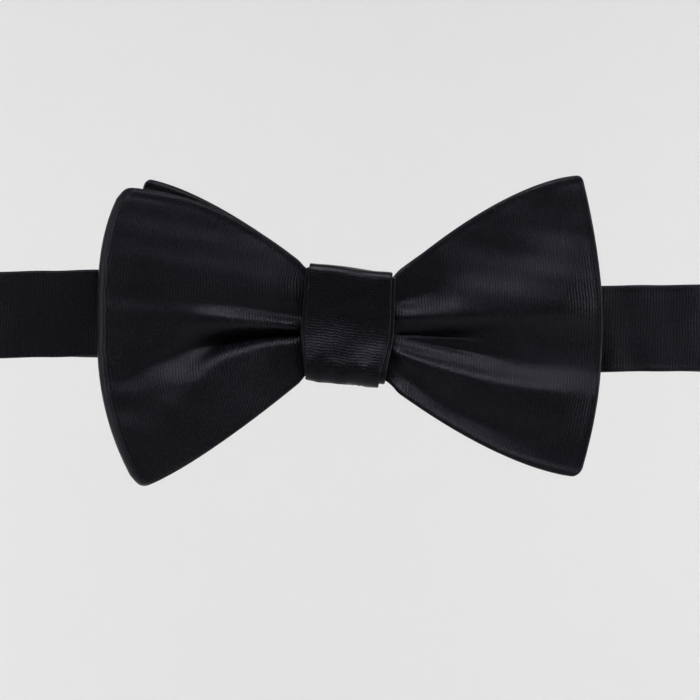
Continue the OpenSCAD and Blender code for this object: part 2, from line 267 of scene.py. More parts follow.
def ribbed_silk(name, light, rib_depth, stray=8.0):
    """Silk with a weft rib across the strip: ribs, the fine warp over them, slubs, and a colour with painted
    shade in the rib grooves and painted sparkle in fine specks, over the slubs' own tone.
    light is its lightest thread. rib_depth is millimetres, and stray is how far ribs wander, in radians."""
    material, tree, shader = new_material(name)
    uv, along, across = weave_uv(tree)
    wander = noise(tree, stretched(tree, uv, 60, 220), 1.0, 2.0)
    rib_turn = maths(tree, "MULTIPLY", along, 2 * math.pi / (RIB_PITCH * MM))
    rib_turn = maths(tree, "ADD", rib_turn, maths(tree, "MULTIPLY", wander, stray))
    rib = cycle(tree, rib_turn)
    warp = cycle(tree, maths(tree, "MULTIPLY", across, 2 * math.pi / (WARP_PITCH * MM)))
    slub = noise(tree, stretched(tree, uv, 2900, 1400), 1.0, 4.0, 0.75)
    patch = noise(tree, stretched(tree, uv, 70, 90), 1.0, 2.0)
    # The ribs' relief, which also darkens the colour in the rib grooves as painted shade
    rib_relief_and_groove_shade = maths(tree, "MULTIPLY", rib, maths(tree, "MULTIPLY", patch, slub))
    # Fine light and dark specks in the colour: partly the slubs' own tone, partly painted sparkle standing in
    # for glints off the satin
    slub_tone_and_painted_sparkle = maths(tree, "MULTIPLY_ADD", slub, 3.5, -1.6)
    shade = maths(tree, "ADD", maths(tree, "MULTIPLY", rib_relief_and_groove_shade, 0.8), slub_tone_and_painted_sparkle)
    tree.links.new(ramp(tree, shade, SILK_BLACK, light), shader.inputs["Base Color"])
    worn = maths(tree, "ADD", maths(tree, "MULTIPLY", slub, 0.6), maths(tree, "MULTIPLY", patch, 0.4))
    spread = maths(tree, "MULTIPLY_ADD", worn, SILK_ROUGH[1] - SILK_ROUGH[0], SILK_ROUGH[0])
    tree.links.new(spread, shader.inputs["Roughness"])
    ribs = bump(tree, rib_relief_and_groove_shade, rib_depth * MM)
    warps = bump(tree, warp, 0.1 * rib_depth * MM, normal=ribs)
    tree.links.new(bump(tree, slub, GRAIN_DEPTH * MM, normal=warps), shader.inputs["Normal"])
    shader.inputs["Specular IOR Level"].default_value = 0.19
    shader.inputs["Specular Tint"].default_value = SILK_SHEEN_TINT
    return material


def plain_weave(name, dark, light, pitch, rough, depth):
    """A plain woven cloth: crossing threads and a little noise. pitch and depth are millimetres."""
    material, tree, shader = new_material(name)
    uv, along, across = weave_uv(tree)
    turn = 2 * math.pi / (pitch * MM)
    warp = maths(tree, "SINE", maths(tree, "MULTIPLY", along, turn))
    weft = maths(tree, "SINE", maths(tree, "MULTIPLY", across, turn))
    weave = maths(tree, "MULTIPLY_ADD", maths(tree, "MULTIPLY", warp, weft), 0.5, 0.5)
    fuzz = noise(tree, stretched(tree, uv, 700, 700), 1.0, 4.0)
    shade = maths(tree, "ADD", maths(tree, "MULTIPLY", weave, 0.5), maths(tree, "MULTIPLY", fuzz, 0.5))
    tree.links.new(ramp(tree, shade, dark, light), shader.inputs["Base Color"])
    tree.links.new(bump(tree, shade, depth * MM), shader.inputs["Normal"])
    shader.inputs["Roughness"].default_value = rough
    shader.inputs["Sheen Weight"].default_value = 0.15
    return material


POLISH_DEPTH = 0.012
PLY_PITCH = 0.4
PLY_DEPTH = 0.04


def nickel_plate(name):
    """Satin nickel: fine polishing marks, a little tarnish and soft wear."""
    material, tree, shader = new_material(name)
    coords = tree.nodes.new("ShaderNodeTexCoord").outputs["Object"]
    marks = noise(tree, stretched(tree, coords, 900, 900, 9000), 1.0, 4.0)
    cloud = noise(tree, stretched(tree, coords, 260, 260, 260), 1.0, 3.0)
    tree.links.new(ramp(tree, cloud, (0.56, 0.53, 0.48), (0.74, 0.72, 0.68)), shader.inputs["Base Color"])
    worn = maths(tree, "ADD", maths(tree, "MULTIPLY", marks, 0.16), maths(tree, "MULTIPLY", cloud, 0.2))
    tree.links.new(maths(tree, "ADD", worn, 0.1), shader.inputs["Roughness"])
    tree.links.new(bump(tree, marks, POLISH_DEPTH * MM), shader.inputs["Normal"])
    shader.inputs["Metallic"].default_value = 1.0
    return material


def twisted_thread(name, dark, light):
    """Sewing thread, with its plies as slanting marks."""
    material, tree, shader = new_material(name)
    _, along, around = weave_uv(tree)
    slant = maths(tree, "ADD", along, around)
    twist = cycle(tree, maths(tree, "MULTIPLY", slant, 2 * math.pi / (PLY_PITCH * MM)))
    tree.links.new(ramp(tree, twist, dark, light), shader.inputs["Base Color"])
    tree.links.new(bump(tree, twist, PLY_DEPTH * MM), shader.inputs["Normal"])
    shader.inputs["Roughness"].default_value = 0.55
    shader.inputs["Sheen Weight"].default_value = 0.2
    return material


bow_silk = ribbed_silk("bow_silk", (0.0105, 0.0096, 0.0138), 0.16)
# Painted shade: the knot is the same black silk as the wings, given a darker colour for the shade on it; its
# finer, wandering ribs are its own
shaded_knot_silk = ribbed_silk("shaded_knot_silk", (0.0085, 0.0078, 0.0113), 0.07, stray=14.0)
band_silk = ribbed_silk("band_silk", (0.0105, 0.0096, 0.0138), 0.2)
canvas = plain_weave("canvas", (0.5, 0.46, 0.38), (0.8, 0.77, 0.68), 0.6, 0.9, 0.12)
label_cloth = plain_weave("label_cloth", (0.62, 0.6, 0.55), (0.86, 0.85, 0.8), 0.3, 0.5, 0.03)
thread = twisted_thread("thread", (0.008, 0.008, 0.01), (0.03, 0.03, 0.036))
nickel = nickel_plate("nickel")


# ---- Bow strips ----

STRIP_HALF_T = 0.6
STRIP_ROLL = 0.16
CORE_HALF_T = 0.2
# The canvas is narrower than its strip by this at each edge, is left out of so many stations at the strip's
# free end and at its other end, and has every second station of the rest
CORE_INSET = 1.6
CORE_STARTS = 8
CORE_STOPS = 6
CORE_EVERY = 2
KNOT_HALF = 10.5
KNOT_TILT = math.radians(6.5)
STATION = 0.7
MID_ROWS = 84
WING_HALF_H = 34.0

# Each wing's top and bottom edge: height beside the knot, reach and height of its corner, exponent of its
# curve, share of its reach that the wing's end draws in there, exponent of that, and radius of the corner
FRONT_EDGES = {
    -1: ((14.4, 54, 32.6, 1.95, 0.1, 3.4, 2.6), (-12.6, 50, -38.7, 1.25, 0.155, 2.2, 2.6)),
    1: ((11.5, 54.5, 35.6, 1.58, 0.082, 1.8, 1.2), (-15.2, 54.5, -35.9, 1.55, 0.09, 2.0, 2.0)),
}
REAR_EDGES = {
    -1: ((14.5, 49, 35.1, 1.45, 0.085, 2.5, 1.2), (-12.0, 47, -35, 1.3, 0.165, 2.2, 3.0)),
    1: ((12.2, 54, 34.4, 1.5, 0.087, 2.0, 1.6), (-14.6, 54, -34.2, 1.5, 0.09, 2.0, 2.0)),
}
# Heights of the strips' top and bottom edge inside the knot
WAIST = (11.6, -12.0)
# Where the edge goes over from the waist to the wing's curve
FLARE = (8.0, 12.0)
# Share of a wing's reach at which the rounding of its corners starts
CORNER_FROM = 0.72


def wing_edge(x, edges, which):
    """Height of a strip's top (which 0) or bottom (which 1) edge at x: level with the knot inside it, and the
    wing's own curve outside, with a short flare between."""
    waist = WAIST[which] - np.asarray(x) * math.tan(KNOT_TILT)
    out = waist
    for side in (-1, 1):
        z0, reach, z1, power = edges[side][which][:4]
        u = np.clip((side * x - KNOT_HALF) / (reach - KNOT_HALF), 0, 1)
        wing = mix(z0, z1, 1 - (1 - u) ** power)
        flare = ease((side * x - FLARE[0]) / (FLARE[1] - FLARE[0]))
        out = np.where(side * x > 0, mix(waist, wing, flare), out)
    return out


def end_draw(x, v, edges):
    """Where a point at x goes once its wing's end is drawn in and its corner is rounded.
    v is its height, from -1 at the bottom edge to 1 at the top."""
    out = np.broadcast_to(x, np.broadcast(x, v).shape).astype(float)
    for side in (-1, 1):
        for which, sign in ((0, 1), (1, -1)):
            _, reach, _, _, draw, power, r = edges[side][which]
            here = (side * x > 0) & (sign * v >= 0)
            t = np.clip((np.abs(v) - 1) * WING_HALF_H / r + 1, 0, 1)
            near = ease((side * x - CORNER_FROM * reach) / ((1 - CORNER_FROM) * reach))
            moved = x * (1 - draw * np.abs(v) ** power) - side * r * (1 - np.sqrt(1 - t * t)) * near
            out = np.where(here, moved, out)
    return out


def layer_depth(s, fold_x, ys, belly=0.0):
    """Depth of a layer at distance s from the centre. belly makes its middle stand out."""
    t = np.clip((s - KNOT_HALF) / (fold_x - KNOT_HALF), 0, 1)
    return mix(ys[0], ys[1], ease(t)) - belly * np.sin(math.pi * t) ** 1.5


def spaced(a, b, step):
    """Even places from a to b, about step apart."""
    return np.linspace(a, b, max(2, int(round(abs(b - a) / step)) + 1))


def strip_plan(side, end_reach, end_y, fold_reach, through, back, belly):
    """Plan points of a strip, from its free end through the knot, round its fold and back into the knot, and
    for each how far it is from the through layer, 0, to the back layer, 1. side is the free end's side, end_y
    its depth, and through and back are the two layers' depths at the knot and at the fold."""
    fold_r = abs(through[1] - back[1]) / 2
    fold_y = (through[1] + back[1]) / 2
    fold_x = fold_reach - STRIP_HALF_T - fold_r
    free = np.concatenate([end_reach - HEM_STEPS[:-1], spaced(end_reach - HEM_STEPS[-1], KNOT_HALF, STATION)])
    t = (end_reach - free) / (end_reach - KNOT_HALF)
    free_y = mix(end_y, through[0], ease(t)) - 0.6 * belly * np.sin(math.pi * t) ** 1.5
    rows = [np.stack([side * free, free_y], 1)]
    s = spaced(-KNOT_HALF, fold_x, STATION)[1:]
    rows.append(np.stack([-side * s, layer_depth(s, fold_x, through, belly)], 1))
    a = spaced(0, math.pi, 0.5 * STATION / fold_r)[1:-1]
    turn_x = fold_x + fold_r * np.sin(a)
    turn_y = fold_y + (through[1] - fold_y) * np.cos(a)
    rows.append(np.stack([-side * turn_x, turn_y], 1))
    s = spaced(fold_x, 2 - KNOT_HALF, STATION)
    rows.append(np.stack([-side * s, layer_depth(s, fold_x, back)], 1))
    plan = np.concatenate(rows)
    turn = np.concatenate([np.zeros(len(rows[0]) + len(rows[1])), a / math.pi, np.ones(len(rows[3]))])
    return plan, turn


def fold_line(x, points):
    """Height of a fold's line at distance x from the centre, on the curve through its points."""
    xs, zs = zip(*points)
    return np.polyval(np.polyfit(xs, zs, len(xs) - 1), np.clip(x, xs[0] - 4, xs[-1] + 6))


def ridge(x, z, points, heights, above, below):
    """A fold that stands out along a line. heights, above and below are its height and its widths
    over and under the line, each at the line's points."""
    xs = [p[0] for p in points]
    dz = z - fold_line(x, points)
    width = np.where(dz > 0, smooth_interp(x, xs, above), smooth_interp(x, xs, below))
    return smooth_interp(x, xs, heights) * np.exp(-((dz / width) ** 2))


# The folds that fan out from the knot. Each has its line's points, as distance from the centre and height,
# and at those points how far it stands out, or sinks in, and its widths over and under the line.
LEFT_FOLDS = (
    # The broad fold over the middle
    (((11, 6.2), (24, 8.4), (50, 11.8)), (1.4, 2.0, 1.0), (4.5, 11, 14), (3.0, 4.4, 5.5)),
    # The sharp fold over the deep crease
    (((11, -0.5), (24, 0.9), (46, 2.8)), (2.3, 2.6, 0.6), (1.5, 2.2, 3.2), (1.3, 2.7, 4)),
    # The full cheek under the crease
    (((11, -4.6), (29, -8.5), (53, -24)), (1.9, 2.6, 1.4), (1.8, 4.4, 12), (8, 14, 16)),
    # The deep crease
    (((11, -1.8), (28, -3.5), (47, -10.5)), (-1.6, -3.0, -1.6), (1.0, 2.0, 3.8), (1.0, 2.1, 9)),
    # A low swelling near the folded edge
    (((38, -12.5), (50, -15.0), (60, -16.5)), (0, 0.8, 0.8), (4, 6, 6), (3, 3, 3)),
)
RIGHT_FOLDS = (
    # The broad fold over the middle
    (((11, 1.7), (30, 2.8), (58, 4.2)), (1.2, 2.5, 3.6), (2.4, 9, 15), (1.5, 3.0, 5.0)),
    # The pinch over it, beside the knot
    (((11, 5.6), (18, 6.2), (30, 8.0)), (-1.5, -1.4, 0), (4.5, 4.5, 5), (1.6, 2.4, 3)),
    # The short crease under it
    (((11, -1.9), (24, -2.2), (40, -2.6)), (-1.1, -1.2, 0), (0.85, 1.2, 2.2), (0.7, 0.9, 2)),
    # The long tuck under that
    (((11, -2.9), (26, -5.8), (44, -9.0)), (-0.9, -1.5, -0.3), (1.2, 3.0, 6), (0.8, 1.1, 3)),
    # The long lower fold
    (((11, -6.6), (29, -12.6), (58, -17.4)), (1.5, 2.9, 2.9), (1.2, 2.6, 5.0), (2.6, 8, 13)),
    # The fold along the bottom edge
    (((11, -15), (31, -28), (54, -37)), (1.5, 1.6, 0.8), (2.6, 3.4, 4), (5, 5, 5)),
)
CRUMPLE = 0.12


def wing_relief(x, z, seed):
    """How far a wing's cloth stands out: its folds, which start beside the knot and flatten toward the wing's
    end, and a slight crumple."""
    reach = np.abs(x)
    left = sum(ridge(reach, z, *fold) for fold in LEFT_FOLDS)
    right = sum(ridge(reach, z, *fold) for fold in RIGHT_FOLDS)
    at_end = 0.35 + 0.65 * ease((62 - reach) / 12)
    crumple = CRUMPLE * waves(x * 0.5, z, seed, 9) * ease((reach - 12) / 12)
    return np.where(x < 0, left, right) * at_end * ease((reach - 8.5) / 5) + crumple


def strip_grid(plan, edges, seed, shares, inset=0.0):
    """Points of a strip's middle surface, distances from its long and short hems, and its cloth coordinates.
    shares are how much of the wing's relief the free end, the through layer and the back layer take."""
    points, turn = plan
    through_end = np.argmax(turn > 0)
    side = np.sign(points[0, 0])
    x0 = points[:, :1]
    top = wing_edge(end_draw(x0, np.array(1.0), edges), edges, 0)[:, 0] - inset
    bottom = wing_edge(end_draw(x0, np.array(-1.0), edges), edges, 1)[:, 0] + inset
    last = HEM_STEPS[-1]
    share = np.linspace(0, 1, MID_ROWS + 2)[1:-1]
    z = np.concatenate([
        bottom[:, None] + HEM_STEPS,
        mix(bottom[:, None] + last, top[:, None] - last, share),
        top[:, None] - HEM_STEPS[::-1]], 1)
    hem = np.minimum(z - bottom[:, None], top[:, None] - z)
    v = 2 * (z - bottom[:, None]) / (top - bottom)[:, None] - 1
    x = end_draw(x0, v, edges)
    amount = smooth_interp(side * points[:, 0], (-8, 8), (shares[1], shares[0]))
    amount[through_end:] = mix(shares[1], shares[2], ease(turn[through_end:]))
    y = points[:, 1:] - amount[:, None] * wing_relief(x, z, seed)
    s = arc_length(points)
    end = np.minimum(s, s[-1] - s)
    uv = np.stack([np.broadcast_to(s[:, None], z.shape), z], 2)
    return np.stack([x, y, z], 2), hem, end[:, None], uv


def bow_strip(name, plan, edges, seed, shares):
    """A strip's silk, with its hems pressed in."""
    mid, hem, end, uv = strip_grid(plan, edges, seed, shares)
    half = STRIP_HALF_T * hem_round(hem, STRIP_HALF_T) * hem_round(end, STRIP_HALF_T)
    half = half * hem_roll(hem, STRIP_ROLL) * hem_roll(end, STRIP_ROLL)
    return shell_piece(name, mid, half, uv, bow_silk)


def thinned(grid, every):
    """Every so many rows of a grid, and its last one."""
    last = len(grid) - 1
    return grid[np.unique(np.append(np.arange(0, last, every), last))]


def bow_core(name, plan, edges, seed, shares):
    """The canvas inside a strip, narrower and shorter than its silk."""
    rows = strip_grid(plan, edges, seed, shares, inset=CORE_INSET)
    mid, hem, end, uv = (thinned(a[CORE_STARTS:-CORE_STOPS], CORE_EVERY) for a in rows)
    end = end - end.min()
    half = CORE_HALF_T * hem_round(hem, CORE_HALF_T) * hem_round(end, CORE_HALF_T)
    return shell_piece(name, mid, half, uv, canvas)


front_low, front_high = box_mm("front_bow_face")
FRONT_PLAN = strip_plan(
    side=1, end_reach=front_high[0], end_y=-12.6, fold_reach=-front_low[0],
    through=(-10.8, -13.6), back=(-8.6, -8.4), belly=2.0)
REAR_PLAN = strip_plan(
    side=-1, end_reach=53, end_y=-4.8, fold_reach=58.4,
    through=(-4.4, -4.4), back=(-6.5, -9.6), belly=0.0)
# How much of the folds each strip's free end, through layer and back layer take
FRONT_SHARES = (1.0, 1.0, 0.12)
REAR_SHARES = (0.1, 0.06, 0.3)
FRONT_STRIP = (FRONT_PLAN, FRONT_EDGES, 3, FRONT_SHARES)
REAR_STRIP = (REAR_PLAN, REAR_EDGES, 5, REAR_SHARES)

front_bow = bow_strip("front_bow", *FRONT_STRIP)
front_core = bow_core("front_bow_canvas", *FRONT_STRIP)
rear_bow = bow_strip("rear_bow", *REAR_STRIP)
rear_core = bow_core("rear_bow_canvas", *REAR_STRIP)
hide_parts("front_bow_face", "front_bow_lining")
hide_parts("front_bow_interlining")
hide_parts("rear_bow_face", "rear_bow_lining")
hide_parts("rear_bow_interlining")


# ---- Knot ----

# Section of the wrap's middle surface: depth and height, from the back's middle up and over to the front
KNOT_SECTION = (
    (-0.5, 0), (-0.5, 6), (-0.6, 10.6), (-1.6, 12.1), (-6, 12.6), (-11.4, 12.7), (-13.5, 12.5), (-14.3, 11.8),
    (-14.1, 6.5), (-13.65, 1.5), (-14.0, -3), (-15.0, -7.5), (-15.5, -11.0), (-14.2, -12.7), (-11, -12.9),
    (-6, -12.9), (-1.6, -12.3), (-0.6, -10.8), (-0.5, -6))
# A point inside the section
KNOT_MIDDLE = (-7.5, 0)
KNOT_SEED = 11
# Where the wrap's two turns end at each side, at heights KNOT_LEVELS in the knot's own frame
KNOT_LEVELS = (-13, -1, 13)
UNDER_SIDES = ((-9.3, -11.4, -11.6), (10.0, 10.8, 9.8))
TOP_SIDES = ((-8.9, -10.5, -10.9), (8.6, 9.9, 8.9))
# Heights of the wrap's slow unevenness and of the small puckers low on its front
KNOT_DENT = 0.16
KNOT_PUCKER = 0.19


def closed_curve(points, step):
    """Catmull-Rom curve through points, closed, resampled every step."""
    p = np.array(points, float)
    t = np.linspace(0, 1, 16, endpoint=False)[:, None]
    out = []
    for i in range(len(p)):
        a, b, c, d = (p[(i + k) % len(p)] for k in (-1, 0, 1, 2))
        out.append(0.5 * (2 * b + (c - a) * t + (2 * a - 5 * b + 4 * c - d) * t ** 2
                          + (3 * b - a - 3 * c + d) * t ** 3))
    out = np.concatenate(out + [out[0][:1]])
    s = arc_length(out)
    at = spaced(0, s[-1], step)
    return np.stack([np.interp(at, s, out[:, k]) for k in range(2)], 1)


def knot_point(x, y, z):
    """From the knot's own level frame to the CAD frame."""
    c, s = math.cos(KNOT_TILT), math.sin(KNOT_TILT)
    return np.stack([x * c + z * s, y, -x * s + z * c], -1)


def knot_layer(name, lift, sides, inset, half_t, material):
    """One turn of the wrap. lift moves it out from the section and inset narrows it at each side."""
    section = closed_curve(KNOT_SECTION, 0.45)
    tangent = np.gradient(section, axis=0)
    normal = np.stack([-tangent[:, 1], tangent[:, 0]], 1)
    normal /= np.linalg.norm(normal, axis=1, keepdims=True)
    outward = normal * np.sign(np.sum(normal * (section - KNOT_MIDDLE), axis=1, keepdims=True))
    section = section + outward * lift
    z = section[:, 1]
    left = smooth_interp(z, KNOT_LEVELS, sides[0]) + inset
    right = smooth_interp(z, KNOT_LEVELS, sides[1]) - inset
    share = np.linspace(0, 1, 30)[1:-1]
    last = HEM_STEPS[-1]
    x = np.concatenate([
        left[:, None] + HEM_STEPS,
        mix(left[:, None] + last, right[:, None] - last, share),
        right[:, None] - HEM_STEPS[::-1]], 1)
    hem = np.minimum(x - left[:, None], right[:, None] - x)
    s = arc_length(section)
    pucker = KNOT_PUCKER * waves(x, 0.6 * s[:, None], KNOT_SEED + 1, 3.6) * ease((-z[:, None] - 6) / 5)
    dent = (KNOT_DENT * waves(x, s[:, None], KNOT_SEED, 11) + pucker) * ease(hem / 4)
    grid = section[:, None, :] + outward[:, None, :] * dent[..., None]
    points = knot_point(x, grid[..., 0], grid[..., 1])
    end = np.minimum(s, s[-1] - s)[:, None]
    half = half_t * hem_round(hem, half_t) * hem_round(end, 0.15)
    uv = np.stack([np.broadcast_to(s[:, None], x.shape), x], 2)
    return shell_piece(name, points, half, uv, material)


knot_under = knot_layer("knot_wrap_under", -0.4, UNDER_SIDES, 0.0, 0.42, shaded_knot_silk)
knot_core = knot_layer("knot_wrap_canvas", 0.17, TOP_SIDES, 1.5, 0.1, canvas)
knot_top = knot_layer("knot_wrap_top", 0.66, TOP_SIDES, 0.0, 0.36, shaded_knot_silk)
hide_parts("knot_wrap")
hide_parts("knot_interlining")


# ---- Neck band ----

# How far the band's front run lies above its true line, at places along it
SAG_AT = (-86, -72, -60, 58, 72, 86)
SAG = (-0.7, -0.1, 0.45, -0.6, -0.1, 0.35)
# How far it leans, top edge forward, at places along it, as depth for height
LEAN_AT = (-86, -62, -54, 59, 64, 69, 75, 81, 88)
LEAN = (0.17, 0.17, 0, 0, -0.08, 0.02, -0.05, 0.02, -0.03)
# The depth at which both start to fade out, and over how much depth they do
LOOSE_FROM = 2
LOOSE_FADE = 30


def on_band(points):
    """From the band's own level frame to the CAD frame, with the front run a little out of line."""
    points = np.asarray(points, float)
    s, c = BAND_AXIS[0], BAND_AXIS[2]
    x, y, z = points[..., 0], points[..., 1], points[..., 2]
    loose = 1 - ease((y - LOOSE_FROM) / LOOSE_FADE)
    y = y - smooth_interp(x, LEAN_AT, LEAN) * loose * z
    z = z + smooth_interp(x, SAG_AT, SAG) * loose
    return np.stack([x * c + z * s, y, -x * s + z * c + BAND_RISE], -1)


def arc(cx, cy, r, start_deg, end_deg, step=0.6):
    a = np.radians(spaced(start_deg, end_deg, math.degrees(step / r)))
    return np.stack([cx + r * np.cos(a), cy + r * np.sin(a)], 1)


def run(x0, y0, x1, y1, step=1.0):
    """A straight stretch."""
    t = spaced(0, 1, step / max(abs(x1 - x0), 1e-6))[:, None]
    return np.array([x0, y0]) * (1 - t) + np.array([x1, y1]) * t


def settle(x0, y0, x1, y1, step=0.6):
    """A stretch that eases from one depth to another."""
    t = spaced(0, 1, step / abs(x1 - x0))
    return np.stack([mix(x0, x1, t), mix(y0, y1, ease(t))], 1)


def joined(*parts):
    """One plan line from several, with no doubled points."""
    line = np.concatenate(parts)
    keep = np.concatenate([[True], np.linalg.norm(np.diff(line, axis=0), axis=1) > 1e-3])
    return line[keep]


def with_hem_stations(line, start, end):
    """Adds close stations beside each end that is a hem. start and end say whether it is one."""
    s = arc_length(line)
    extra = [s[(s > (HEM_STEPS[-1] if start else 0)) & (s < s[-1] - (HEM_STEPS[-1] if end else 0))]]
    extra.append(HEM_STEPS if start else [0])
    extra.append(s[-1] - HEM_STEPS if end else [s[-1]])
    at = np.unique(np.round(np.concatenate(extra), 4))
    return np.stack([np.interp(at, s, line[:, k]) for k in range(2)], 1)


BAND_ROLL = 0.12


def band_strip(name, line, height, thick, material, seed, hems=(True, True), wave=0.18):
    """A flat strap along a plan line in the band's own frame. An end that is no hem is cut off square."""
    line = with_hem_stations(line, *hems)
    s = arc_length(line)
    top, bottom = height / 2, -height / 2
    share = np.linspace(0, 1, 16)[1:-1]
    steps = HEM_STEPS[:9]
    z = np.concatenate([bottom + steps, mix(bottom + steps[-1], top - steps[-1], share), top - steps[::-1]])
    tangent = np.gradient(line, axis=0)
    normal = np.stack([-tangent[:, 1], tangent[:, 0]], 1)
    normal /= np.linalg.norm(normal, axis=1, keepdims=True)
    hem = np.broadcast_to(np.minimum(z - bottom, top - z), (len(s), len(z)))
    uneven = wave * waves(s[:, None], z[None, :] * 0.6, seed, 26)
    grid = line[:, None, :] + normal[:, None, :] * uneven[..., None]
    points = np.concatenate([grid, np.broadcast_to(z, hem.shape)[..., None]], 2)
    half_t = thick / 2
    half = half_t * hem_round(hem, half_t) * hem_roll(hem, BAND_ROLL)
    uv = np.stack([np.broadcast_to(s[:, None], hem.shape), np.broadcast_to(z, hem.shape)], 2)
    for is_hem, distance in zip(hems, (s, s[-1] - s)):
        if is_hem:
            half = half * hem_round(distance[:, None], half_t) * hem_roll(distance[:, None], BAND_ROLL)
    if not hems[0]:
        points, half, uv = cut_square(points, half, uv, 0)
    if not hems[1]:
        points, half, uv = cut_square(points, half, uv, -1)
    return shell_piece(name, on_band(points), half, uv, material)


def cut_square(points, half, uv, end):
    """Closes a shell's end with a flat face, by one more station in the same place with no thickness."""
    outward = points[0] - points[1] if end == 0 else points[-1] - points[-2]
    place = 0 if end == 0 else len(points)
    points = np.insert(points, place, points[end] + outward * 1e-3, axis=0)
    half = np.insert(half, place, 0, axis=0)
    uv = np.insert(uv, place, uv[end], axis=0)
    return points, half, uv


def pivot_mm(joint):
    """A clasp pivot in the band's own frame: place along the band and depth."""
    p = np.array(JOINTS[joint]["pos_m"]) / MM
    s, c = BAND_AXIS[0], BAND_AXIS[2]
    return p[0] * c - (p[2] - BAND_RISE) * s, p[1]


EYE_X, EYE_Y = pivot_mm("eye_pivot")
HOOK_X, HOOK_Y = pivot_mm("hook_pivot")
BAR_RUN_R = abs(BACK_Y - EYE_Y)
RETURN_Y = 2 * HOOK_Y - BACK_Y
SEAM_X = TURN_X - 1.5
# Gaps where two ends of silk meet, at the seam, at the strap's return and behind the knot, and gaps where
# two layers lie together, at the eye's tail and at the slide's tab
SEAM_GAP = 0.03
RETURN_GAP = 0.02
FRONT_GAP = 0.3
LAYER_GAP = 0.04
TAB_GAP = 0.05
# How far behind the eye's bar its tail has settled on the band, and where it ends
TAIL_SETTLED = EYE_X - 6
TAIL_END = EYE_X - 12
TAIL_Y = BACK_Y - BAND_T - LAYER_GAP
# The strap's return, from beside the hook's bar to the slide's tab
RETURN_START = HOOK_X + 2
slide_low, slide_high = box_mm("slide_adjuster")
SLIDE_X = (slide_low[0] + slide_high[0]) / 2
SLIDE_BAR_Y = RETURN_Y + BAR_RUN_R
RETURN_END = SLIDE_X - 3
TAB_TOP_Y = SLIDE_BAR_Y + BAR_RUN_R
TAB_SETTLED = SLIDE_X - 5
TAB_END = SLIDE_X - 9
TAB_Y = RETURN_Y + BAND_T + TAB_GAP
BAR_STEP = 0.25

turn_left = arc(-TURN_X, BAND_Y + TURN_R, TURN_R, -90, -270)
turn_right = arc(TURN_X, BAND_Y + TURN_R, TURN_R, -90, 90)
left_line = joined(
    run(-FRONT_GAP, BAND_Y, -TURN_X, BAND_Y),
    turn_left,
    run(-TURN_X, BACK_Y, EYE_X, BACK_Y),
    arc(EYE_X, EYE_Y, BAR_RUN_R, 90, -90, BAR_STEP),
    settle(EYE_X, EYE_Y - BAR_RUN_R, TAIL_SETTLED, TAIL_Y),
    run(TAIL_SETTLED, TAIL_Y, TAIL_END, TAIL_Y))
right_line = joined(
    run(FRONT_GAP, BAND_Y, TURN_X, BAND_Y),
    turn_right,
    run(TURN_X, BACK_Y, SEAM_X + SEAM_GAP, BACK_Y))
strap_line = joined(
    run(SEAM_X - SEAM_GAP, BACK_Y, HOOK_X, BACK_Y),
    arc(HOOK_X, HOOK_Y, BAR_RUN_R, 270, 90, BAR_STEP),
    run(HOOK_X, RETURN_Y, RETURN_START, RETURN_Y))
return_line = run(RETURN_START + RETURN_GAP, RETURN_Y, RETURN_END - RETURN_GAP, RETURN_Y)
tab_line = joined(
    run(RETURN_END, RETURN_Y, SLIDE_X, RETURN_Y),
    arc(SLIDE_X, SLIDE_BAR_Y, BAR_RUN_R, -90, 90, BAR_STEP),
    settle(SLIDE_X, TAB_TOP_Y, TAB_SETTLED, TAB_Y),
    run(TAB_SETTLED, TAB_Y, TAB_END, TAB_Y))

# Height, thickness and cloth of the straps' silk. The number after it is the seed of a strap's unevenness.
SILK = (BAND_H, BAND_T, band_silk)
band_left = band_strip("band_left_silk", left_line, *SILK, 21)
band_right = band_strip("band_right_silk", right_line, *SILK, 22)
strap_run = band_strip("strap_run_silk", strap_line, *SILK, 23, hems=(True, False), wave=0.08)
strap_return = band_strip("strap_return_silk", return_line, *SILK, 24, hems=(False, False), wave=0.0)
slide_tab = band_strip("slide_tab_silk", tab_line, *SILK, 25, hems=(False, True), wave=0.0)

# The same for their canvas, which stops short of the silk's ends by so many stations of its line
CORE_H = BAND_H - 1.6
CORE_T = 0.3
CORE = (CORE_H, CORE_T, canvas)
left_core = band_strip("band_left_canvas", left_line[3:-30], *CORE, 21)
right_core = band_strip("band_right_canvas", right_line[3:-2], *CORE, 22)
strap_core = band_strip("strap_run_canvas", strap_line[2:-12], *CORE, 23, wave=0.08)
return_core = band_strip("strap_return_canvas", return_line[1:-1], *CORE, 24, wave=0.0)

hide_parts("band_front", "band_left")
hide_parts("band_right_turn")
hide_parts("band_front_interlining", "band_left_interlining")
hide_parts("band_right_interlining")
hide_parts("strap_run", "strap_bight")
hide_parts("strap_run_interlining")
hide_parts("strap_return")
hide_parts("strap_return_interlining")
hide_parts("slide_tab")


# ---- Stitches and label ----

THREAD_RINGS = 9
THREAD_SIDES = 10


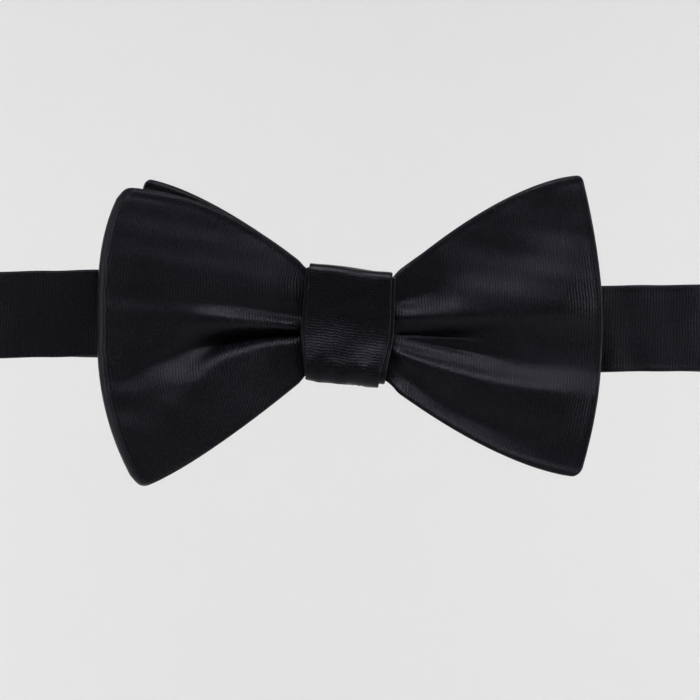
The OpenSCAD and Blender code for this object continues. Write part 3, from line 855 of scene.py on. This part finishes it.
def capsules(name, ends, radius, sag):
    """Short rounded lengths of thread. Each of ends has two points and the direction that sag bows it in."""
    points, faces, uvs = [], [], []
    for a, b, out in ends:
        a, b, out = (np.array(p, float) for p in (a, b, out))
        direction = b - a
        length = np.linalg.norm(direction)
        direction = direction / length
        side = np.cross(direction, out)
        side /= np.linalg.norm(side)
        up = np.cross(side, direction)
        base = len(points)
        for i in range(THREAD_RINGS):
            t = i / (THREAD_RINGS - 1)
            r = radius * math.sqrt(max(1 - abs(2 * t - 1) ** 6, 0.03))
            centre = a + direction * length * t + up * sag * math.sin(math.pi * t)
            for k in range(THREAD_SIDES):
                angle = 2 * math.pi * k / THREAD_SIDES
                points.append(centre + r * (math.cos(angle) * side + math.sin(angle) * up))
                uvs.append((t * length, k / THREAD_SIDES * 2 * math.pi * radius))
        rings = [[base + i * THREAD_SIDES + k for k in range(THREAD_SIDES)] for i in range(THREAD_RINGS)]
        for low, high in zip(rings[:-1], rings[1:]):
            faces += zip(low, low[1:] + low[:1], high[1:] + high[:1], high)
        faces += [rings[0], rings[-1]]
    return mesh_piece(name, np.array(points) * MM, faces, uvs, thread, sharp_deg=80)


def band_stitch(start, end, out):
    """A stitch between two points of the band's own frame, on the face that looks along depth's out."""
    return on_band(start), on_band(end), (0, out, 0)


def bartack(name, x, y, out):
    """Zigzag stitches packed into a bar across a strap, on the face at depth y that looks along out."""
    ends = []
    for i, z in enumerate(np.arange(-7.4, 7.4, 0.34)):
        slant = 0.12 if i % 2 else -0.12
        ends.append(band_stitch((x - 0.75, y, z - slant), (x + 0.75, y, z + slant), out))
    return capsules(name, ends, 0.17, sag=0.12)


eye_tack = bartack("eye_bartack_stitches", TAIL_END + 3, BACK_Y - 1.5 * BAND_T - 0.1, -1)
slide_tack = bartack("slide_bartack_stitches", SLIDE_X - 6.5, RETURN_Y + 1.5 * BAND_T + 0.12, 1)
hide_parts("eye_bartack")
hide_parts("slide_bartack")

label_low, label_high = box_mm("size_label")
LABEL_X = (label_low[0] + label_high[0]) / 2
LABEL_W = 26.0
LABEL_H = 12.0
LABEL_HALF_T = 0.13
LABEL_Y = BAND_Y + BAND_T / 2 + 0.3
STITCH_FACE_Y = LABEL_Y + 0.2


def hem_to_hem(width):
    """Places across a tape of that width, close together beside its two edges."""
    half = width / 2
    places = np.concatenate([HEM_STEPS[:8] - half, spaced(2 - half, half - 2, 0.7), half - HEM_STEPS[7::-1]])
    return np.unique(np.round(places, 3))


def label_piece():
    """The label: a tape whose middle stands off the band a little, between its sewn ends."""
    x, z = np.meshgrid(hem_to_hem(LABEL_W), hem_to_hem(LABEL_H), indexing="ij")
    end = np.minimum(x + LABEL_W / 2, LABEL_W / 2 - x)
    hem = np.minimum(z + LABEL_H / 2, LABEL_H / 2 - z)
    bulge = 0.35 * ease(end / 5) * (0.6 + 0.4 * np.cos(z / 4)) + 0.05 * waves(x, z, 31, 7)
    grid = np.stack([x + LABEL_X, LABEL_Y + bulge, z], 2)
    half = LABEL_HALF_T * hem_round(end, LABEL_HALF_T) * hem_round(hem, LABEL_HALF_T)
    return shell_piece("size_label_tape", on_band(grid), half, np.stack([x, z], 2), label_cloth)


label = label_piece()
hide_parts("size_label")
label_ends = []
for x in (LABEL_X - LABEL_W / 2 + 1, LABEL_X + LABEL_W / 2 - 1):
    for z in np.arange(-5.2, 5.3, 1.3):
        label_ends.append(band_stitch((x, STITCH_FACE_Y, z - 0.42), (x, STITCH_FACE_Y, z + 0.42), 1))
label_stitches = capsules("label_stitch_rows", label_ends, 0.14, sag=0.08)
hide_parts("label_stitches")

# Whip stitches that close the wrap, under the knot
tack_ends = []
for x in np.arange(-7.4, 7.5, 1.6):
    start = knot_point(x - 0.5, -2.6, -13.62)
    end = knot_point(x + 0.5, -4.8, -13.92)
    tack_ends.append((start, end, (0, 0, -1)))
knot_tack = capsules("knot_tack_stitches", tack_ends, 0.16, sag=0.1)
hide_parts("knot_tack")

# Slanted stitches beside the knot that hold the bow to the band
anchor_y = BAND_Y - BAND_T / 2 - 0.12
anchor_ends = []
for x in (-13.5, 13.5):
    for z in np.arange(-6, 6.1, 1.5):
        anchor_ends.append(band_stitch((x - 0.6, anchor_y, z - 0.3), (x + 0.6, anchor_y, z + 0.3), -1))
anchors = capsules("anchor_stitches", anchor_ends, 0.16, sag=0.06)
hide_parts("band_anchor_stitches")

# A row on each face and each side of the seam between the band and the strap
seam_ends = []
for x in (SEAM_X - 1.3, SEAM_X + 1.3):
    for side in (-1, 1):
        y = BACK_Y + side * (BAND_T / 2 + 0.02)
        for z in np.arange(-8.8, 8.9, 1.6):
            seam_ends.append(band_stitch((x, y, z - 0.5), (x, y, z + 0.5), side))
seam_stitches = capsules("strap_seam_stitches", seam_ends, 0.15, sag=0.05)


# ---- Hardware ----

WELD_DISTANCE = 0.001
EASED_EDGE = 0.12

for node in ("eye_clasp", "hook_clasp", "slide_adjuster"):
    part = frame["nodes"][node]
    part.data.materials.clear()
    part.data.materials.append(nickel)
    part.modifiers.new("joined_edges", "WELD").merge_threshold = WELD_DISTANCE * MM
    eased = part.modifiers.new("eased_edges", "BEVEL")
    eased.width = EASED_EDGE * MM
    eased.segments = 2
    eased.angle_limit = math.radians(40)


# ---- What each piece rides on ----


BOW_PIECES = (
    front_bow, front_core, rear_bow, rear_core,
    knot_under, knot_core, knot_top, knot_tack,
    anchors, label, label_stitches)
for piece in BOW_PIECES:
    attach(piece, "bow")

# The band's silk and canvas have their placing baked into their points
for piece in (band_left, left_core):
    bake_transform(piece)
for piece in (band_right, right_core):
    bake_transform(piece)

# The strap's run and its return, with their canvas, have their placing baked into their points
for piece in (strap_run, strap_core):
    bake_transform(piece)
for piece in (strap_return, return_core):
    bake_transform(piece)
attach(eye_tack, "left_half")
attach(slide_tab, "slide")
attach(slide_tack, "slide")
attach(seam_stitches, "right_half")


# ---- Stage, light and camera, in metres ----

FLOOR_Z = -0.6
WALL_Y = 3.4
WALL_TOP = 4.0
COVE_RADIUS = 0.25
STAGE_REACH = 6.0


def cyclorama():
    """A floor that curves up into a backdrop."""
    cove_y, cove_z = WALL_Y - COVE_RADIUS, FLOOR_Z + COVE_RADIUS
    line = [(-STAGE_REACH, FLOOR_Z), (cove_y, FLOOR_Z)]
    line += [(cove_y + COVE_RADIUS * math.sin(a), cove_z - COVE_RADIUS * math.cos(a))
             for a in np.linspace(0, math.pi / 2, 17)[1:]]
    line.append((WALL_Y, WALL_TOP))
    points = [(x, y, z) for y, z in line for x in (-STAGE_REACH, STAGE_REACH)]
    faces = [(2 * i, 2 * i + 1, 2 * i + 3, 2 * i + 2) for i in range(len(line) - 1)]
    mesh = bpy.data.meshes.new("backdrop")
    mesh.from_pydata(points, [], faces)
    mesh.polygons.foreach_set("use_smooth", [True] * len(mesh.polygons))
    obj = bpy.data.objects.new("backdrop", mesh)
    bpy.context.scene.collection.objects.link(obj)
    material, tree, shader = new_material("backdrop")
    grain = noise(tree, tree.nodes.new("ShaderNodeTexCoord").outputs["Object"], 3.0, 2.0)
    tree.links.new(ramp(tree, grain, (0.77, 0.77, 0.77), (0.79, 0.79, 0.79)), shader.inputs["Base Color"])
    shader.inputs["Roughness"].default_value = 0.95
    shader.inputs["Specular IOR Level"].default_value = 0.1
    obj.data.materials.append(material)


def area_light(name, place, target, size, power):
    data = bpy.data.lights.new(name, "AREA")
    data.shape = "RECTANGLE"
    data.size, data.size_y = size
    data.energy = power
    lamp = bpy.data.objects.new(name, data)
    lamp.location = place
    lamp.rotation_euler = (Vector(target) - Vector(place)).to_track_quat("-Z", "Y").to_euler()
    bpy.context.scene.collection.objects.link(lamp)


def camera(width, centre, distance):
    """A level camera in front, far enough off for a flat view that takes in width at the centre."""
    data = bpy.data.cameras.new("camera")
    data.sensor_width = 36
    data.lens = data.sensor_width * distance / width
    data.clip_end = 20
    cam = bpy.data.objects.new("camera", data)
    cam.location = (centre[0], centre[1] - distance, centre[2])
    cam.rotation_euler = (math.pi / 2, 0, 0)
    bpy.context.scene.collection.objects.link(cam)
    bpy.context.scene.camera = cam


# Name, place, target, width and height, and watts
LIGHTS = (
    ("key", (-0.1, -0.78, 1.2), (0, 0, 0), (0.8, 0.4), 20),
    ("side_left", (-1.1, -0.1, 0.15), (0, 0, 0), (0.4, 0.8), 4.5),
    ("side_right", (1.1, -0.1, 0.15), (0, 0, 0), (0.4, 0.8), 9),
    ("wall_left", (-1.7, 2.0, 0.05), (0, WALL_Y, 0), (0.6, 0.9), 21),
    ("wall_right", (1.7, 2.0, 0.05), (0, WALL_Y, 0), (0.6, 0.9), 21),
)
WORLD_LIGHT = 0.14

cyclorama()
for light in LIGHTS:
    area_light(*light)
world = bpy.data.worlds.new("world")
world.use_nodes = True
sky = world.node_tree.nodes["Background"]
sky.inputs["Color"].default_value = (1, 1, 1, 1)
sky.inputs["Strength"].default_value = WORLD_LIGHT
bpy.context.scene.world = world
bpy.context.scene.view_settings.view_transform = "Standard"
camera(width=0.166, centre=(0.00024, -0.012, -0.0058), distance=1.2)
